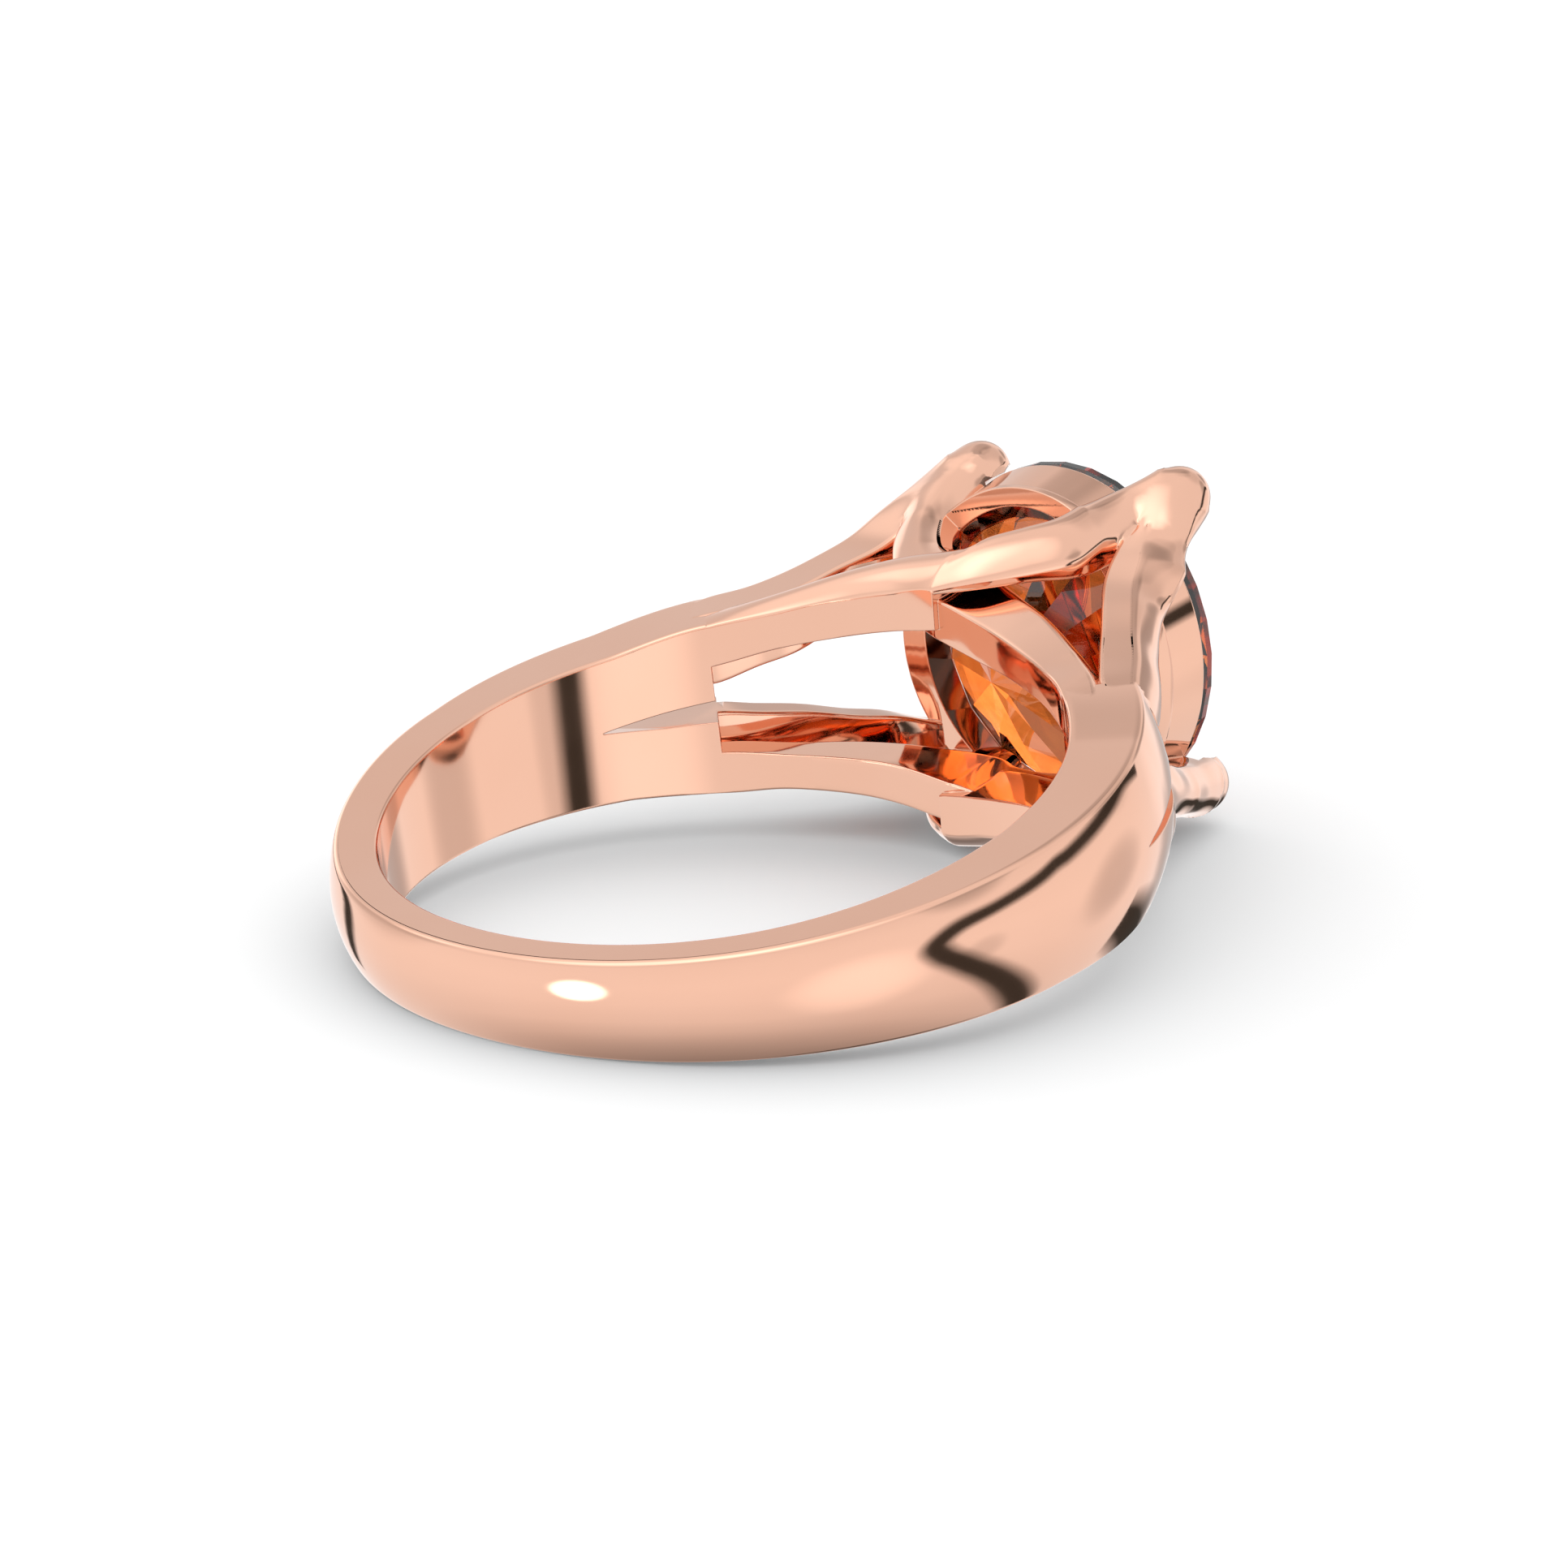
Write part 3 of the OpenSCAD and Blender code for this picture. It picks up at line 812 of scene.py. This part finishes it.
def disc(name, azimuth, height, radius, colour):
    """Round card, soft at its edge."""
    n = LAMP_POINTS
    here = way(azimuth, height)
    side = here.cross(Vector((0, 0, 1))).normalized()
    top = side.cross(here)
    points, levels, faces = [here * FAR], [1], []
    for r, f in LAMP_FADE:
        for k in range(n):
            a = 2 * math.pi * k / n
            points.append((here + (side * math.cos(a) + top * math.sin(a))
                           * math.radians(radius) * r) * FAR)
            levels.append(f)
    for k in range(n):
        j = (k + 1) % n
        faces.append([0, 1 + k, 1 + j])
        for low in range(1, 1 + n * (len(LAMP_FADE) - 1), n):
            faces.append([low + k, low + n + k, low + n + j, low + j])
    return card(name, points, faces, levels, colour)


def soft_place(tree, towards, azimuth, height, inside, outside, away, middle):
    """Light in a round place of the sky, from away at its outer radius to middle."""
    near = add(tree, "VectorMath", {0: towards, 1: way(azimuth, height)},
               operation="DOT_PRODUCT")
    return add(tree, "MapRange", {0: near.outputs["Value"],
                                  1: math.cos(math.radians(outside)),
                                  2: math.cos(math.radians(inside)),
                                  3: away, 4: middle}, interpolation_type="SMOOTHSTEP")


def sky():
    """The world: what the metal mirrors, what the stone lets through and the floor's light."""
    world, tree, shade = graph("studio", "worlds")
    bpy.context.scene.world = world
    towards = add(tree, "TexCoord").outputs["Generated"]
    height = add(tree, "SeparateXYZ", {0: towards}).outputs["Z"]
    level = add(tree, "MapRange", {0: height, 1: -1.0, 2: 1.0})
    stops = [((z + 1) / 2, v / SKY_MOST) for z, v in SKY]
    bands = ramp(tree, level.outputs[0], stops)
    light = add(tree, "Math", {0: bands.outputs["Color"], 1: SKY_MOST}, operation="MULTIPLY")
    for *place, amount in PLACES:
        share = soft_place(tree, towards, *place, 0.0, amount)
        light = add(tree, "Math", {0: light.outputs[0], 1: share.outputs[0]})
    lit = add(tree, "Math", {0: light.outputs[0], 1: SKY_LEAST}, operation="MAXIMUM")
    path = add(tree, "LightPath")
    bounced = add(tree, "Math", {0: path.outputs["Diffuse Depth"], 1: 0.5},
                  operation="GREATER_THAN")
    ring_light = add(tree, "MixRGB", {0: bounced.outputs[0], 1: lit.outputs[0],
                                      2: BOUNCE_LIGHT})
    through = soft_place(tree, towards, *STONE_PLACE, *STONE_LIGHT)
    seen = add(tree, "MixRGB", {0: path.outputs["Is Transmission Ray"],
                                1: ring_light.outputs[0], 2: through.outputs[0]})
    plain = add(tree, "MixRGB", {0: path.outputs["Is Diffuse Ray"], 1: seen.outputs[0],
                                 2: FLOOR_LIGHT})
    tree.links.new(plain.outputs[0], shade.inputs["Color"])


def studio():
    """World, mirrored cards and floor."""
    bpy.context.scene.view_settings.view_transform = "Standard"
    sky()
    for i, rows in enumerate(PANEL_EDGES):
        strip("panel_edge_%d" % i, rows, PANEL_EDGE_LIGHT)
    disc("lamp", *LAMP, LAMP_LIGHT)
    s = FLOOR_HALF
    floor = mesh_object("floor", [[-s, -s, 0], [s, -s, 0], [s, s, 0], [-s, s, 0]],
                        [[0, 1, 2, 3]])
    mat, _, shader = graph("floor")
    shader.inputs["Base Color"].default_value = FLOOR_COLOUR
    shader.inputs["Roughness"].default_value = 1
    shader.inputs["Specular IOR Level"].default_value = 0
    floor.data.materials.append(mat)
    floor.visible_glossy = False


def camera():
    """Camera at the photo's angle."""
    cam = bpy.data.objects.new("camera", bpy.data.cameras.new("camera"))
    bpy.context.scene.collection.objects.link(cam)
    turn = Matrix((CAMERA_RIGHT, CAMERA_UP, CAMERA_BACK)).transposed().to_4x4()
    place = LAY @ Matrix.Translation(CAMERA_PLACE) @ turn
    # from millimetres to metres, with the axes as they are
    cam.matrix_world = Matrix.Translation(place.translation * (MM - 1)) @ place
    cam.data.sensor_width = SENSOR
    cam.data.lens = SENSOR * FOCAL_PX / PHOTO_PX
    cam.data.clip_start = 0.001
    bpy.context.scene.camera = cam


def dress(obj, material):
    """One material on the whole piece."""
    obj.data.materials.clear()
    obj.data.materials.append(material)
    obj.data.polygons.foreach_set("material_index", [0] * len(obj.data.polygons))


metal = ring_mount()
polish(metal, METAL_CREASE, HOLE_R)
dress(metal, rose_gold())
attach(metal, "root")
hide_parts("ring_mount")
stone = gem("garnet", 0)
polish(stone, STONE_CREASE)
dress(stone, hessonite())
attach(stone, "root")
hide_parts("stone")
studio()
camera()
